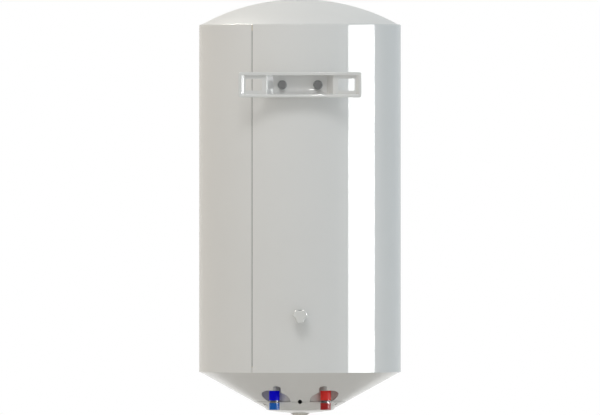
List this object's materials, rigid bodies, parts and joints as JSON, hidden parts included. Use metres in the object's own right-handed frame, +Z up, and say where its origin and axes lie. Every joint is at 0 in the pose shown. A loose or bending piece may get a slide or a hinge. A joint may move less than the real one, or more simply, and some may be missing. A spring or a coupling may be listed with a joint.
{
  "type": "tank water heater",
  "caption": "Wall-hung cylindrical electric storage water heater with a domed top, a conical bottom cover, pipe stubs below, a wall bracket and a lobed spacer screw behind.",
  "frame": {"origin": "on the wall plane, midway between the bracket's two hook windows", "axes": "+Z up, +Y away from the wall into the room, +X to the right for someone who looks along +Y"},
  "size_m": [0.45, 0.4855, 0.9295],
  "materials": {
    "casing_paint": "powder coated sheet, light satin",
    "cover_plastic": "moulded, fine texture",
    "cap_plastic": "moulded, fine texture",
    "knob_plastic": "moulded, satin",
    "white_plastic": "moulded, glossy",
    "blue_plastic": "moulded, glossy",
    "red_plastic": "moulded, glossy",
    "black_rubber": "moulded",
    "bracket_paint": "powder coated steel",
    "dark_steel": "oiled steel",
    "zinc_steel": "zinc plated",
    "tank_enamel": "glass enamel on steel",
    "foam": "rigid foam, cut cells",
    "copper_element": "drawn tube",
    "brass": "turned",
    "magnesium": "cast rod",
    "phenolic": "moulded",
    "pa_cream": "moulded",
    "wire_brown": "insulation",
    "wire_blue": "insulation",
    "wire_green": "insulation",
    "amber_lens": "clear amber plastic",
    "clear_lens": "clear plastic",
    "dial_white": "printed disc",
    "bezel_chrome": "plated",
    "pointer_red": "painted",
    "epdm": "moulded"
  },
  "bodies": {
    "heater": {"outer_casing": "casing_paint", "top_cover": "casing_paint", "bottom_cover": "cover_plastic", "service_cap": "cap_plastic", "cover_screws": "zinc_steel", "cable_grommet": "black_rubber", "tank_shell": "tank_enamel", "tank_top_head": "tank_enamel", "tank_bottom_head": "tank_enamel", "foam_insulation": "foam", "tank_flange_ring": "tank_enamel", "flange_studs": "zinc_steel", "flange_gasket": "epdm", "flange_plate": "zinc_steel", "flange_nuts": "zinc_steel", "heating_element": "copper_element", "element_terminals": "brass", "thermowell": "copper_element", "thermostat_body": "phenolic", "indicator_lens": "amber_lens", "anode_rod": "magnesium", "anode_nut": "zinc_steel", "cable_clamp": "pa_cream", "clamp_screws": "zinc_steel", "terminal_block": "pa_cream", "terminal_screws": "brass", "earth_screw": "brass", "live_wire": "wire_brown", "neutral_wire": "wire_blue", "earth_wire": "wire_green", "cold_inlet_pipe": "zinc_steel", "hot_outlet_pipe": "zinc_steel", "cold_diffuser": "pa_cream", "hot_dip_tube": "zinc_steel", "cold_collar": "blue_plastic", "hot_collar": "red_plastic", "wall_bracket": "bracket_paint", "bracket_bolts": "dark_steel", "bracket_washers": "zinc_steel", "bracket_bosses": "dark_steel", "spacer_bush": "zinc_steel", "thermometer_bezel": "bezel_chrome", "thermometer_dial": "dial_white", "thermometer_lens": "clear_lens"},
    "knob": {"thermostat_knob": "knob_plastic", "thermostat_spindle": "brass"},
    "reset": {"reset_button": "red_plastic"},
    "spacer_slide": {"spacer_stud": "zinc_steel"},
    "spacer_turn": {"spacer_knob": "white_plastic"},
    "cold_guard": {"cold_thread_guard": "blue_plastic"},
    "hot_guard": {"hot_thread_guard": "red_plastic"},
    "pointer": {"thermometer_pointer": "pointer_red"}
  },
  "joints": [
    {"name": "thermostat_turn", "type": "hinge", "parent": "heater", "child": "knob", "pos_m": [0, 0.255, -0.731], "axis": [0, 0, 1], "range_deg": [0, 270]},
    {"name": "reset_press", "type": "slide", "parent": "heater", "child": "reset", "axis": [0, 0, 1], "range_m": [0, 0.002], "stiffness_N_per_m": 500},
    {"name": "spacer_travel", "type": "slide", "parent": "heater", "child": "spacer_slide", "axis": [0, -1, 0], "range_m": [-0.008, 0.012]},
    {"name": "spacer_screw", "type": "hinge", "parent": "spacer_slide", "child": "spacer_turn", "pos_m": [0, 0, -0.5116], "axis": [0, -1, 0], "range_deg": [-1925, 2885]},
    {"name": "cold_guard_pull", "type": "slide", "parent": "heater", "child": "cold_guard", "axis": [0, 0, -1], "range_m": [0, 0.02]},
    {"name": "hot_guard_pull", "type": "slide", "parent": "heater", "child": "hot_guard", "axis": [0, 0, -1], "range_m": [0, 0.02]},
    {"name": "thermometer_swing", "type": "hinge", "parent": "heater", "child": "pointer", "pos_m": [0, 0.48, -0.439], "axis": [0, -1, 0], "range_deg": [0, 240]}
  ],
  "couplings": [
    {"joint": "spacer_screw", "follows": "spacer_travel", "rad_per_m": 4188.8}
  ]
}
